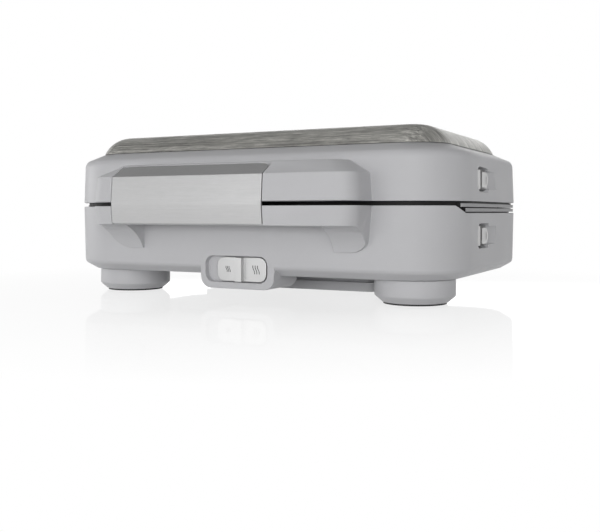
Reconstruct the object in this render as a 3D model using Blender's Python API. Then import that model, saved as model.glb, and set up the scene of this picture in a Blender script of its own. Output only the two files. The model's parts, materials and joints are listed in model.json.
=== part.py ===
"""Two-slice sandwich maker with removable deep-fill plates, closed and latched.

Lengths are in metres. In the body frame x runs to the right, y runs back from the body's front wall,
and z runs up from the table. The upper half repeats the inner pieces of the lower half, turned over
the middle of the parting gap.
"""

import math

import bmesh
import bpy
from mathutils import Vector

# Body outline, seen from above
body_width = 0.265
body_depth = 0.167
corner_radius = 0.036
corner_steps = 10
wall = 0.0026
draft = 0.0009

# Running clearance between pieces, and how far a cut runs past what it cuts
clearance = 0.0003
overrun = 0.002

# Base shell, from the table up
underside_z = 0.0145
base_chamfer_rise = 0.00445
base_chamfer_run = 0.0077
base_chamfer_round = 0.0035
base_wall_height = 0.03595
crease_steps = 5
floor_thickness = 0.0025

# The rim of the base steps down behind its front corners
rim_step_depth = 0.004
rim_step_start_y = 0.018
rim_step_run = 0.008

# Lid shell, from the parting gap up
parting_gap = 0.0024
lid_wall_height = 0.0266
lid_chamfer_rise = 0.0053
lid_chamfer_run = 0.01245
lid_chamfer_round = 0.005
deck_thickness = 0.0022
deck_width = 0.0055

# Raised top panel: one arc from its foot into the flat top
panel_sheet = 0.0015
panel_arc_radius = 0.019
panel_arc_start = math.radians(66)
panel_arc_steps = 9

# Handle: a loop across the front, halved by the parting gap
handle_half_width = 0.0868
handle_reach = 0.026
handle_corner = 0.010
handle_draft = 0.0012
handle_drop = 0.0109
handle_rise = 0.015
handle_slant_run = 0.012
handle_slant_rise = 0.0073
handle_top_corner = 0.008
handle_bar = 0.0155
handle_leg = 0.022
handle_root = 0.002
gusset_drop = 0.0145
gusset_reach = 0.0175
gusset_root = 0.001
gusset_corner = 0.012
gusset_angles = (math.radians(20), math.radians(70))
gusset_steps = 7
small_round = 0.0006

# Latch plate, which wraps the slanted top and the front of the handle
latch_left_x = -0.0689
latch_right_x = 0.0332
latch_sheet = 0.0018
latch_side_gap = 0.0004
latch_top_margin = 0.0022
latch_top_gap = 0.0012
latch_bottom_margin = 0.0006
latch_corner = 0.005
latch_corner_steps = 4
latch_pin_radius = 0.0011
latch_pin_margin = 0.0008
latch_pin_depth = 0.0024
latch_knuckle_radius = 0.0019
latch_knuckle_width = 0.014
latch_knuckle_inset = 0.011
latch_pin_end_inset = 0.006
latch_tongue_width = 0.030
latch_tongue_reach = 0.005
latch_tongue_thickness = 0.0018
latch_tongue_drop = 0.0042
latch_tongue_rise_room = 0.0018

# Hinge knuckles behind the body, and their pins
hinge_corner_gap = 0.0185
hinge_setback = 0.0065
hinge_knuckle_radius = 0.0055
hinge_pin_radius = 0.0015
hinge_lid_knuckle_width = 0.017
hinge_ear_width = 0.007
hinge_web_near = 0.012
hinge_web_far = 0.019
barrel_sides = 18

# Slider pod under the front of the base, and the slider in it
pod_center_x = 0.0016
pod_width = 0.0498
pod_bottom_z = 0.0065
pod_corner = 0.0068
pod_top_z = 0.0275
pod_face_y = 0.0010
pod_front_block = 0.014
pod_under_block = 0.030
pocket_center_x = 0.0010
pocket_width = 0.0420
pocket_height = 0.0153
pocket_center_z = 0.01795
pocket_corner = 0.0052
pocket_depth = 0.0038
slider_width = 0.0330
slider_thickness = 0.0028
slider_end_play = 0.0010
slider_side_play = 0.0005
slider_travel = 0.0072
ridge_width = 0.0044
ridge_height = 0.0032
ridge_offset = -0.0006
stem_width = 0.006
stem_height = 0.003
stem_rise = 0.0015
stem_length = 0.0165
switch_depth = 0.012
switch_height = 0.0075
switch_side = 0.005

# Feet and their pads
front_foot_side = 0.03365
front_foot_y = 0.0351
front_foot_radius = 0.0229
front_foot_bevel_run = 0.0042
rear_foot_side = 0.0705
rear_foot_back = 0.029
rear_foot_radius = 0.015
rear_foot_bevel_run = 0.003
foot_bevel_rise = 0.0036
pad_height = 0.001
pad_margin = 0.0008
pad_seat_depth = 0.0012
foot_sides = 32

# Bottom cover with its cord-wrap island
cover_side_gap = 0.00345
cover_front_y = 0.044
cover_back_gap = 0.005
cover_thickness = 0.002
cover_corner = 0.006
cover_lap = 0.012
island_side_margin = 0.0075
island_front_y = 0.064
island_back_margin = 0.010
island_bottom_z = 0.0018
island_flange = 0.0056
island_neck_inset = 0.007
island_corner = 0.009
cover_screw_margin = 0.0042

# Carrier frames that hold the plates
carrier_inset = 0.0032
carrier_drop = 0.0014
carrier_thickness = 0.005
carrier_ledge = 0.0025
carrier_ledge_thickness = 0.0025
strip_inset = 0.0005
strip_width = 0.0037
strip_thickness = 0.0019
base_strip_start_y = 0.0275
lid_strip_start_y = 0.023
lid_strip_drop = 0.0031
lip_inset = 0.0019
lip_width = 0.0012
skirt_inset = 0.0032
skirt_width = 0.0014

# Cooking plates
plate_side_margin = 0.0115
plate_front_y = 0.011
plate_back_margin = 0.014
plate_corner = 0.026
plate_rim = 0.0045
plate_meeting_gap = 0.0006
plate_play = 0.0005
plate_corner_steps = 6
pan_rim_x = 0.017
pan_rim_y = 0.006
pan_corner = 0.012
pan_depth = 0.0123
pan_taper = 0.0045
pocket_divider = 0.008
pocket_side_wall = 0.003
pocket_end_wall = 0.002
pocket_round = 0.010
cook_depth = 0.0143
cook_taper = 0.004
cook_ridge_height = 0.0085
cook_ridge_width = 0.006
cook_ridge_length_share = 0.84
cook_ridge_top_share = 0.70

# Lugs under the plates, and what catches them
lug_outer_gap = 0.003
lug_thickness = 0.003
lug_width = 0.012
lug_tip_reach = 0.0025
lug_drop = 0.0073
lug_tip_thickness = 0.0016
nose_gap = 0.0004
nose_thickness = 0.0018
nose_overlap = 0.002
riser_thickness = 0.002
clip_base_length = 0.009

# Reflector trays and heating elements
tray_gap = 0.0003
tray_side_play = 0.0002
tray_end_gap = 0.0045
tray_sheet = 0.001
tray_depth = 0.0222
tray_corner = 0.009
tab_center_x = 0.060
tab_width = 0.016
tab_reach = 0.0035
tab_thickness = 0.0013
element_radius = 0.00325
element_half_pitch = 0.038
element_arc_inset = 0.0502
element_end_reach = 0.0078
element_below_pan = 0.0012
element_sides = 8
element_arc_steps = 12
support_x = 0.043
support_width = 0.006
support_margin = 0.006
support_wrap = 0.002
thermostat_radius = 0.008
thermostat_body = 0.0075
sensor_radius = 0.005
fuse_radius = 0.002
fuse_length = 0.014
fuse_x = 0.027
fuse_y = 0.100

# Release buttons on the right wall
lower_button_z = 0.0378
upper_button_z = 0.0699
button_y = 0.0565
button_width = 0.021
button_height = 0.0114
button_crown = 0.004
button_edge = 0.0005
button_corner = 0.0045
button_swell = 0.0016
button_lip = 0.0035
button_lip_rise = 0.0005
button_play = 0.0004
button_side_room = 0.0013
button_rear_room = 0.0026
button_steps = 8
button_travel = 0.0025
recess_wall = 0.0014
notch_width = 0.0169
notch_height = 0.0106
notch_depth = 0.003
notch_end_depth = 0.0005
shank_width = 0.006
shank_height = 0.004
spring_closed = 0.002
spring_radius = 0.0041
spring_wire = 0.00035
spring_turns = 4
spring_turn_steps = 8
spring_sides = 4

# Wiring pieces in the base
terminal_width = 0.030
terminal_depth = 0.012
terminal_height = 0.0077
terminal_x = -0.030
terminal_back = 0.043
terminal_bore = 0.0018
terminal_ways = 3
gland_x = -0.040
gland_z = 0.033
gland_radius = 0.006
gland_bore = 0.004
gland_flange = 0.0025
gland_flange_width = 0.002

# Lamps in the top panel
lamp_half_spacing = 0.009
lamp_y = 0.040
lens_radius = 0.0023
lens_flange_radius = 0.0036
lens_flange_height = 0.0014
board_half_width = 0.019
board_half_depth = 0.007
board_thickness = 0.0016
post_half_spacing = 0.015
post_radius = 0.002

# Screws and their bosses
screw_head_radius = 0.0027
screw_head_height = 0.0016
screw_radius = 0.0014
screw_length = 0.009
screw_sides = 10
boss_radius = 0.0040
boss_length = 0.010
boss_sides = 14
carrier_screw_front_inset = 0.0160
carrier_screw_back_inset = 0.0173

# Worked out from the sizes above
base_chamfer_inset = draft + base_chamfer_run
base_chamfer_top_z = underside_z + base_chamfer_rise
base_top_z = base_chamfer_top_z + base_wall_height
floor_z = underside_z + floor_thickness
rim_low_z = base_top_z - rim_step_depth
lid_bottom_z = base_top_z + parting_gap
middle_z = base_top_z + parting_gap / 2
lid_wall_top_z = lid_bottom_z + lid_wall_height
lid_top_z = lid_wall_top_z + lid_chamfer_rise
lid_chamfer_inset = draft + lid_chamfer_run
body_half_width = body_width / 2
front_foot_x = body_half_width - front_foot_side
rear_foot_x = body_half_width - rear_foot_side
rear_foot_y = body_depth - rear_foot_back
cover_half_width = front_foot_x - front_foot_radius - cover_side_gap
cover_back_y = rear_foot_y - rear_foot_radius - cover_back_gap
island_half_width = cover_half_width - island_side_margin
island_back_y = cover_back_y - island_back_margin
handle_bottom_z = base_top_z - handle_drop
crease_z = lid_bottom_z + handle_rise
handle_top_z = crease_z + handle_slant_rise
handle_gap_half_width = handle_half_width - handle_leg
handle_bar_back_y = handle_bar - handle_reach
gusset_bottom_z = handle_bottom_z - gusset_drop
hinge_y = body_depth + hinge_setback
hinge_half_spacing = body_half_width - corner_radius - hinge_corner_gap
plate_half_width = body_half_width - plate_side_margin
plate_back_y = body_depth - plate_back_margin
pan_half_width = plate_half_width - pan_rim_x
tray_half_width = pan_half_width + tray_sheet + tray_side_play
element_arc_x = element_arc_inset - tray_half_width
element_end_x = tray_half_width + element_end_reach
terminal_y = body_depth - terminal_back
plate_center_y = (plate_front_y + plate_back_y) / 2
plate_top_z = middle_z - plate_meeting_gap / 2
plate_rim_bottom_z = plate_top_z - plate_rim
pan_bottom_z = plate_rim_bottom_z - pan_depth
carrier_top_z = base_top_z - carrier_drop
ledge_top_z = plate_rim_bottom_z - clearance
carrier_bottom_z = ledge_top_z - carrier_ledge_thickness
tray_top_z = carrier_bottom_z - tray_gap
tray_bottom_z = tray_top_z - tray_depth
element_z = pan_bottom_z - element_below_pan - element_radius
lug_outer_x = plate_half_width - lug_outer_gap
lug_inner_x = lug_outer_x - lug_thickness
lug_bottom_z = plate_rim_bottom_z - lug_drop
nose_bottom_z = lug_bottom_z + lug_tip_thickness + nose_gap
nose_tip_x = lug_inner_x - lug_tip_reach + nose_overlap
upper_shank_z = lug_bottom_z - nose_gap - shank_height / 2
button_back_x = body_half_width - button_crown - button_edge
pocket_face_x = button_back_x - button_travel - spring_closed
stem_z = pocket_center_z + stem_rise
rear_extent_y = hinge_y + hinge_knuckle_radius
front_wall_world_y = -(rear_extent_y - handle_reach) / 2


# Outlines

def arc_points(center_u, center_v, radius, start, end, steps):
    """Points of an arc from one angle to another, both ends included."""
    angles = [start + (end - start) * step / steps for step in range(steps + 1)]
    return [(center_u + radius * math.cos(a), center_v + radius * math.sin(a)) for a in angles]


def rounded_outline(low_u, high_u, low_v, high_v, radii, steps):
    """A rectangle, counterclockwise from its lower right corner; a radius of 0 gives a sharp corner."""
    corners = ((high_u, low_v), (high_u, high_v), (low_u, high_v), (low_u, low_v))
    inward = ((-1, 1), (-1, -1), (1, -1), (1, 1))
    points = []
    for index, ((u, v), (du, dv), radius) in enumerate(zip(corners, inward, radii)):
        if radius == 0:
            points.append((u, v))
            continue
        start = (index - 1) * math.pi / 2
        points += arc_points(u + du * radius, v + dv * radius, radius, start, start + math.pi / 2, steps)
    return points


def circle_outline(center_u, center_v, radius, sides):
    return arc_points(center_u, center_v, radius, 0, 2 * math.pi, sides)[:-1]


def body_outline(inset, steps=corner_steps):
    radius = max(corner_radius - inset, small_round)
    half = body_half_width - inset
    return rounded_outline(-half, half, inset, body_depth - inset, [radius] * 4, steps)


def plate_outline(growth, steps=corner_steps):
    half = plate_half_width + growth
    radius = plate_corner + growth
    return rounded_outline(-half, half, plate_front_y - growth, plate_back_y + growth, [radius] * 4, steps)


def offset_path(points, distance):
    """An open path moved to its left by a distance, with mitred corners."""
    path = [Vector(point) for point in points]
    normals = []
    for first, second in zip(path, path[1:]):
        along = (second - first).normalized()
        normals.append(Vector((-along.y, along.x)))
    moved = [path[0] + normals[0] * distance]
    for index in range(1, len(path) - 1):
        mitre = (normals[index - 1] + normals[index]).normalized()
        moved.append(path[index] + mitre * distance / mitre.dot(normals[index]))
    moved.append(path[-1] + normals[-1] * distance)
    return moved


# Solids, each as a bmesh

def level(outline, z):
    return [Vector((x, y, z)) for x, y in outline]


def loft(rings, closed=False):
    """Skin a list of rings with the same number of points; closed joins the last ring to the first."""
    solid = bmesh.new()
    rows = [[solid.verts.new(point) for point in ring] for ring in rings]
    pairs = list(zip(rows, rows[1:]))
    if closed:
        pairs.append((rows[-1], rows[0]))
    count = len(rows[0])
    for lower, upper in pairs:
        for index in range(count):
            following = (index + 1) % count
            solid.faces.new((lower[index], lower[following], upper[following], upper[index]))
    if not closed:
        solid.faces.new(list(reversed(rows[0])))
        solid.faces.new(rows[-1])
    bmesh.ops.recalc_face_normals(solid, faces=solid.faces)
    return solid


def prism(outline, axis, low, high):
    """Extrude an outline along an axis. Its (u, v) are (y, z) along X, (x, z) along Y and (x, y) along Z."""
    place = {
        "X": lambda u, v, along: Vector((along, u, v)),
        "Y": lambda u, v, along: Vector((u, along, v)),
        "Z": lambda u, v, along: Vector((u, v, along)),
    }[axis]
    return loft([[place(u, v, along) for u, v in outline] for along in (low, high)])


def box(low, high):
    (x0, y0, z0), (x1, y1, z1) = low, high
    return prism([(x0, y0), (x1, y0), (x1, y1), (x0, y1)], "Z", z0, z1)


def cylinder(axis, center_u, center_v, radius, low, high, sides=screw_sides):
    return prism(circle_outline(center_u, center_v, radius, sides), axis, low, high)


def turned(center_x, center_y, profile, sides):
    """A solid of revolution about a vertical axis; the profile is (radius, z) from one end to the other."""
    return loft([level(circle_outline(center_x, center_y, radius, sides), z) for radius, z in profile])


def tube(points, radius, sides):
    """A round bar along a path, with flat ends."""
    rings = []
    side = None
    for index, point in enumerate(points):
        before = points[max(index - 1, 0)]
        after = points[min(index + 1, len(points) - 1)]
        along = (after - before).normalized()
        if side is None:
            side = along.orthogonal().normalized()
        side = (side - along * side.dot(along)).normalized()
        other = along.cross(side)
        angles = [2 * math.pi * step / sides for step in range(sides)]
        rings.append([point + radius * (math.cos(a) * side + math.sin(a) * other) for a in angles])
    return loft(rings)


def as_object(name, solid):
    mesh = bpy.data.meshes.new(name)
    solid.to_mesh(mesh)
    solid.free()
    item = bpy.data.objects.new(name, mesh)
    bpy.context.scene.collection.objects.link(item)
    return item


def combine(solid, tool, operation):
    """The exact Boolean of two solids, which it uses up."""
    body = as_object("body", solid)
    other = as_object("tool", tool)
    step = body.modifiers.new("combine", "BOOLEAN")
    step.operation = operation
    step.solver = "EXACT"
    step.object = other
    evaluated = body.evaluated_get(bpy.context.evaluated_depsgraph_get())
    result = bmesh.new()
    result.from_mesh(evaluated.to_mesh())
    evaluated.to_mesh_clear()
    for item in (body, other):
        mesh = item.data
        bpy.data.objects.remove(item)
        bpy.data.meshes.remove(mesh)
    return result


def join(solid, *tools):
    for tool in tools:
        solid = combine(solid, tool, "UNION")
    return solid


def cut(solid, *tools):
    for tool in tools:
        solid = combine(solid, tool, "DIFFERENCE")
    return solid


def within(solid, bounds):
    """The part of a solid that lies inside another."""
    return combine(solid, bounds, "INTERSECT")


def turned_over(solid):
    """The same solid reflected in the middle of the parting gap, for the upper half."""
    for vertex in solid.verts:
        vertex.co.z = 2 * middle_z - vertex.co.z
    bmesh.ops.reverse_faces(solid, faces=solid.faces)
    return solid


def flipped_z(z):
    return 2 * middle_z - z


# Materials

def plain_material(name, color, roughness, metallic=0.0):
    material = bpy.data.materials.new(name)
    material.use_nodes = True
    shader = material.node_tree.nodes["Principled BSDF"]
    shader.inputs["Base Color"].default_value = (*color, 1.0)
    shader.inputs["Roughness"].default_value = roughness
    shader.inputs["Metallic"].default_value = metallic
    material.diffuse_color = (*color, 1.0)
    return material


def make_materials():
    return {
        "shell": plain_material("grey_plastic", (0.52, 0.52, 0.53), 0.5),
        "panel": plain_material("brushed_panel", (0.22, 0.22, 0.20), 0.38, 0.9),
        "silver": plain_material("satin_silver", (0.60, 0.60, 0.60), 0.3, 0.9),
        "dark": plain_material("dark_plastic", (0.04, 0.04, 0.04), 0.5),
        "frame": plain_material("frame_plastic", (0.20, 0.20, 0.20), 0.5),
        "coating": plain_material("plate_coating", (0.12, 0.10, 0.09), 0.4),
        "tray": plain_material("aluminised_sheet", (0.65, 0.65, 0.65), 0.3, 1.0),
        "element": plain_material("element_sheath", (0.18, 0.18, 0.17), 0.5, 0.8),
        "steel": plain_material("zinc_steel", (0.60, 0.60, 0.58), 0.35, 1.0),
        "rubber": plain_material("rubber", (0.03, 0.03, 0.03), 0.8),
        "ceramic": plain_material("ceramic", (0.80, 0.78, 0.72), 0.6),
        "red_lens": plain_material("red_lens", (0.60, 0.05, 0.03), 0.2),
        "green_lens": plain_material("green_lens", (0.05, 0.45, 0.08), 0.2),
    }


# Handle, latch and hinge shapes that the two shells share

def handle_offset(z):
    """How far the handle's faces lean in at a height below the crease."""
    if z <= base_top_z:
        return handle_draft * (base_top_z - z) / handle_drop
    return handle_draft * max(z - lid_bottom_z, 0) / handle_rise


def handle_ring(offset, z, corner=handle_corner):
    half = handle_half_width - offset
    radii = [corner, 0, 0, corner]
    return level(rounded_outline(-half, half, offset - handle_reach, handle_root, radii, corner_steps), z)


def handle_gap(low_z, high_z):
    half = handle_gap_half_width
    return box((-half, handle_bar_back_y, low_z), (half, handle_root + overrun, high_z))


def lower_handle():
    low = gusset_bottom_z
    solid = loft([handle_ring(handle_offset(low), low), handle_ring(0, base_top_z)])
    solid = cut(solid, handle_gap(low - overrun, base_top_z + overrun))
    front = -handle_reach - overrun
    below = low - overrun
    under_bar = box((-handle_gap_half_width, front, below), (handle_gap_half_width, overrun, handle_bottom_z))
    width = handle_half_width + overrun
    profile = [(front, below), (-gusset_root, below)]
    first, last = gusset_angles
    for step in range(gusset_steps + 1):
        angle = first + (last - first) * step / gusset_steps
        out_share = (math.cos(first) - math.cos(angle)) / (math.cos(first) - math.cos(last))
        up_share = (math.sin(angle) - math.sin(first)) / (math.sin(last) - math.sin(first))
        profile.append((-gusset_root - gusset_reach * out_share, gusset_bottom_z + gusset_drop * up_share))
    profile.append((front, handle_bottom_z))
    gusset = prism(profile, "X", -width, width)
    return cut(solid, under_bar, gusset, gusset_corner_cut(-1), gusset_corner_cut(1))


def gusset_corner_cut(side):
    """What rounds the outer bottom corner of a leg, seen from the front."""
    edge = handle_half_width
    center_x = edge - gusset_corner
    center_z = gusset_bottom_z + gusset_corner
    arc = arc_points(center_x, center_z, gusset_corner, 0, -math.pi / 2, gusset_steps)
    far = edge + overrun
    low = gusset_bottom_z - overrun
    profile = [(far, center_z), *arc, (center_x, low), (far, low)]
    return prism([(side * x, z) for x, z in profile], "Y", -handle_reach - overrun, handle_root + overrun)


def upper_handle():
    crease_offset = handle_offset(crease_z)
    rings = [
        handle_ring(0, lid_bottom_z),
        handle_ring(crease_offset, crease_z),
        handle_ring(crease_offset + handle_slant_run, handle_top_z, handle_top_corner),
    ]
    return cut(loft(rings), handle_gap(lid_bottom_z - overrun, handle_top_z + overrun))


def latch_path():
    """The handle's outer profile under the latch plate, (y, z), from the plate's top end to its bottom."""
    crease = Vector((handle_offset(crease_z) - handle_reach, crease_z))
    back = Vector((crease.x + handle_slant_run, handle_top_z))
    top = back + (crease - back).normalized() * latch_top_margin
    bottom_z = handle_bottom_z + latch_bottom_margin
    return [
        top,
        crease,
        Vector((-handle_reach, lid_bottom_z)),
        Vector((-handle_reach, base_top_z)),
        Vector((handle_offset(bottom_z) - handle_reach, bottom_z)),
    ]


def slant_frame():
    """Unit vectors down the slanted face and into the handle from it, in (y, z)."""
    path = latch_path()
    down = (path[1] - path[0]).normalized()
    return down, Vector((-down.y, down.x))


def latch_axis():
    """The latch pin's centre, (y, z)."""
    down, inward = slant_frame()
    return latch_path()[0] + down * latch_pin_margin + inward * latch_pin_depth


def latch_rows(outer, inner, left_x, right_x, rounding):
    """Rings across the latch sheet, one at each point of its profile, with the two top corners rounded."""
    rows = []
    for step in range(latch_corner_steps + 1):
        angle = math.pi / 2 * step / latch_corner_steps
        fall = rounding * (1 - math.cos(angle))
        shrink = rounding * (1 - math.sin(angle))
        rows.append((fall, shrink))
        if rounding == 0:
            break
    rings = []
    for fall, shrink in rows:
        near = outer[0] + (outer[1] - outer[0]).normalized() * fall
        far = inner[0] + (inner[1] - inner[0]).normalized() * fall
        rings.append((near, far, left_x + shrink, right_x - shrink))
    rings += [(near, far, left_x, right_x) for near, far in zip(outer[1:], inner[1:])]
    return [
        [Vector((low, *near)), Vector((high, *near)), Vector((high, *far)), Vector((low, *far))]
        for near, far, low, high in rings
    ]


def latch_knuckle_spans():
    """Where the plate's two knuckles lie along the pin."""
    left = latch_left_x + latch_knuckle_inset
    right = latch_right_x - latch_knuckle_inset
    return ((left, left + latch_knuckle_width), (right - latch_knuckle_width, right))


def latch_tongue_box(grow_sides, grow_reach, grow_up, grow_down):
    middle_x = (latch_left_x + latch_right_x) / 2
    half = latch_tongue_width / 2 + grow_sides
    back = latch_sheet - handle_reach + latch_tongue_reach + grow_reach
    high = base_top_z - latch_tongue_drop + grow_up
    low = base_top_z - latch_tongue_drop - latch_tongue_thickness - grow_down
    front = latch_sheet / 2 - handle_reach
    return box((middle_x - half, front, low), (middle_x + half, back, high))


def latch_recess():
    """What the latch plate needs out of both halves of the handle."""
    path = latch_path()
    down, inward = slant_frame()
    long_path = [path[0] - down * latch_top_gap] + path[1:]
    tail = (path[-1] - path[-2]).normalized()
    long_path[-1] = path[-1] + tail * (latch_bottom_margin + overrun)
    outer = offset_path(long_path, -overrun)
    inner = offset_path(long_path, latch_sheet + clearance)
    rings = latch_rows(outer, inner, latch_left_x - latch_side_gap, latch_right_x + latch_side_gap, 0)
    return loft(rings)


def latch_pin_bore(radius, low_x, high_x):
    center = latch_axis()
    return cylinder("X", center.x, center.y, radius, low_x, high_x, screw_sides)


def hinge_web(sign):
    """A knuckle's web, from the rear wall to the barrel: sign is -1 below the axis and 1 above it."""
    wall_y = body_depth - handle_root
    return [
        (wall_y, middle_z + sign * hinge_web_far),
        (hinge_y + hinge_knuckle_radius, middle_z),
        (hinge_y - hinge_knuckle_radius, middle_z),
        (wall_y, middle_z + sign * hinge_web_near),
    ]


def hinge_knuckle(sign, low_x, high_x):
    barrel = cylinder("X", hinge_y, middle_z, hinge_knuckle_radius, low_x, high_x, barrel_sides)
    return join(prism(hinge_web(sign), "X", low_x, high_x), barrel)


def hinge_bore(center_x):
    reach = hinge_lid_knuckle_width / 2 + hinge_ear_width + overrun
    radius = hinge_pin_radius + clearance
    return cylinder("X", hinge_y, middle_z, radius, center_x - reach, center_x + reach, boss_sides)


def recess_span():
    """Where the recess of a release button begins and ends along the wall."""
    low_y = button_y - button_width / 2 - button_play
    return low_y, button_y + button_width / 2 + button_rear_room


def recess_housing(button_z, growth, outer_x):
    """The block that a button's recess and notch are cut in, in the base's frame."""
    low_y, high_y = recess_span()
    around = recess_wall + growth
    half = button_height / 2 + button_side_room + around
    low = (pocket_face_x - around, low_y - around, button_z - half)
    return box(low, (outer_x, high_y + notch_width + around, button_z + half))


def button_pocket(button_z, shank_z):
    """Cuts for a release button, its finger notch and its shank."""
    low_y, high_y = recess_span()
    half = button_height / 2 + button_side_room
    outside = body_half_width + overrun
    round_radius = button_corner + (button_play + button_side_room) / 2
    radii = [0, 0, round_radius, round_radius]
    deep_outline = rounded_outline(low_y, high_y, button_z - half, button_z + half, radii, plate_corner_steps)
    deep = prism(deep_outline, "X", pocket_face_x, outside)
    near_y = high_y - clearance
    near_x = body_half_width - notch_depth
    far_x = body_half_width - notch_end_depth
    notch_y = high_y + notch_width
    ramp = [(near_x, near_y), (outside, near_y), (outside, notch_y), (far_x, notch_y)]
    shallow = prism(ramp, "Z", button_z - notch_height / 2, button_z + notch_height / 2)
    side = shank_width / 2 + clearance
    rise = shank_height / 2 + clearance
    hole_low = (pocket_face_x - recess_wall - overrun, button_y - side, shank_z - rise)
    hole = box(hole_low, (pocket_face_x + overrun, button_y + side, shank_z + rise))
    return deep, shallow, hole


def carrier_screw_places():
    """Centres of the four carrier screws, on the diagonals of the body's corners."""
    front = carrier_screw_front_inset
    back = carrier_screw_back_inset
    rows = ((body_half_width - front, front), (body_half_width - back, body_depth - back))
    return [(side * x, y) for side in (-1, 1) for x, y in rows]


def cover_screw_places():
    half = cover_half_width - cover_screw_margin
    rows = (cover_front_y + cover_screw_margin, cover_back_y - cover_screw_margin)
    return [(x, y) for x in (-half, half) for y in rows]


# Shells

def filleted(before, corner, after, radius):
    """Points that round the corner of a path of (inset, z)."""
    before, corner, after = Vector(before), Vector(corner), Vector(after)
    along = (corner - before).normalized()
    onward = (after - corner).normalized()
    turn = along.angle(onward)
    across = (onward - along * onward.dot(along)).normalized()
    start = corner - along * radius * math.tan(turn / 2)
    angles = [turn * step / crease_steps for step in range(crease_steps + 1)]
    return [start + along * radius * math.sin(a) + across * radius * (1 - math.cos(a)) for a in angles]


def base_skin():
    slope = base_chamfer_rise / base_chamfer_run
    lift = floor_thickness * math.hypot(1, slope)
    floor_inset = base_chamfer_inset + (lift - floor_thickness) / slope
    inner_chamfer_z = base_chamfer_top_z - wall * slope + lift
    foot = (base_chamfer_inset, underside_z)
    rim = (0, base_top_z)
    rings = [
        foot,
        *filleted(foot, (draft, base_chamfer_top_z), rim, base_chamfer_round),
        rim,
        (wall, base_top_z),
        (draft + wall, inner_chamfer_z),
        (floor_inset, floor_z),
    ]
    return loft([level(body_outline(inset), z) for inset, z in rings])


def base_core():
    """The base filled in to the middle of its wall, which bounds what grows inside it."""
    rings = [
        (base_chamfer_inset + wall / 2, underside_z + floor_thickness / 2),
        (draft + wall / 2, base_chamfer_top_z + floor_thickness / 2),
        (wall / 2, base_top_z),
    ]
    return loft([level(body_outline(inset), z) for inset, z in rings])


def rim_step_cut():
    """The wedge above the stepped-down rim, seen from the side."""
    far = rear_extent_y + overrun
    high = base_top_z + overrun
    step_end = rim_step_start_y + rim_step_run
    slope = rim_step_run / rim_step_depth
    start = rim_step_start_y - slope * overrun
    profile = [(start, high), (step_end, rim_low_z), (far, rim_low_z), (far, high)]
    half = body_half_width + overrun
    return prism(profile, "X", -half, half)


def pod_blocks():
    half = pod_width / 2
    low_x = pod_center_x - half
    high_x = pod_center_x + half
    radii = [pod_corner, 0, 0, pod_corner]
    steps = plate_corner_steps
    face = rounded_outline(low_x, high_x, pod_bottom_z, pod_top_z, radii, steps)
    under = rounded_outline(low_x, high_x, pod_bottom_z, floor_z - floor_thickness / 2, radii, steps)
    front = prism(face, "Y", pod_face_y, pod_front_block)
    back = prism(under, "Y", pod_front_block / 2, pod_under_block)
    return front, back


def pocket_outline(margin):
    half = pocket_width / 2 - margin
    rise = pocket_height / 2 - margin
    radii = [pocket_corner - margin] * 4
    low_x = pocket_center_x - half
    low_z = pocket_center_z - rise
    return rounded_outline(low_x, low_x + 2 * half, low_z, low_z + 2 * rise, radii, plate_corner_steps)


def stem_center_x():
    """The slider's stem at rest, with the slider at the right end of its pocket."""
    return pocket_center_x + pocket_width / 2 - slider_end_play - slider_width / 2


def slider_cuts():
    pocket = prism(pocket_outline(0), "Y", pod_face_y - overrun, pod_face_y + pocket_depth)
    side = stem_width / 2 + clearance
    rise = stem_height / 2 + clearance
    low = (stem_center_x() - slider_travel - side, pod_face_y, stem_z - rise)
    slot = box(low, (stem_center_x() + side, pod_front_block + overrun, stem_z + rise))
    return pocket, slot


def cover_opening():
    half = cover_half_width - cover_lap
    low_y = cover_front_y + cover_lap
    high_y = cover_back_y - cover_lap
    outline = rounded_outline(-half, half, low_y, high_y, [cover_corner] * 4, plate_corner_steps)
    return prism(outline, "Z", underside_z - overrun, floor_z + overrun)


def base_shell():
    solid = cut(base_skin(), rim_step_cut())
    solid = join(solid, lower_handle(), *pod_blocks())
    solid = cut(solid, *slider_cuts(), latch_recess())
    room = latch_tongue_rise_room
    solid = cut(solid, latch_tongue_box(clearance, clearance, room, clearance))
    housing_x = body_half_width - wall / 2 - draft
    solid = join(solid, recess_housing(lower_button_z, 0, housing_x))
    solid = cut(solid, *button_pocket(lower_button_z, lower_button_z), cover_opening())
    for x, y in cover_screw_places():
        boss_top = floor_z + boss_length / 2
        boss_low = floor_z - floor_thickness / 2
        solid = join(solid, cylinder("Z", x, y, boss_radius, boss_low, boss_top, boss_sides))
        hole_top = boss_top - floor_thickness / 2
        solid = cut(solid, cylinder("Z", x, y, screw_radius + clearance, underside_z - overrun, hole_top))
    for x, y in carrier_screw_places():
        boss_top = carrier_bottom_z - clearance
        solid = join(solid, within(cylinder("Z", x, y, boss_radius, 0, boss_top, boss_sides), base_core()))
        hole_low = boss_top - boss_length
        solid = cut(solid, cylinder("Z", x, y, screw_radius + clearance, hole_low, boss_top + overrun))
    inner = hinge_lid_knuckle_width / 2 + clearance
    outer = inner + hinge_ear_width
    for center_x in (-hinge_half_spacing, hinge_half_spacing):
        solid = join(solid, hinge_knuckle(-1, center_x - outer, center_x - inner))
        solid = join(solid, hinge_knuckle(-1, center_x + inner, center_x + outer))
        solid = cut(solid, hinge_bore(center_x))
    hole_radius = gland_radius + clearance
    low_y = body_depth - wall - draft - overrun
    return cut(solid, cylinder("Y", gland_x, gland_z, hole_radius, low_y, body_depth + overrun, barrel_sides))


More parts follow.
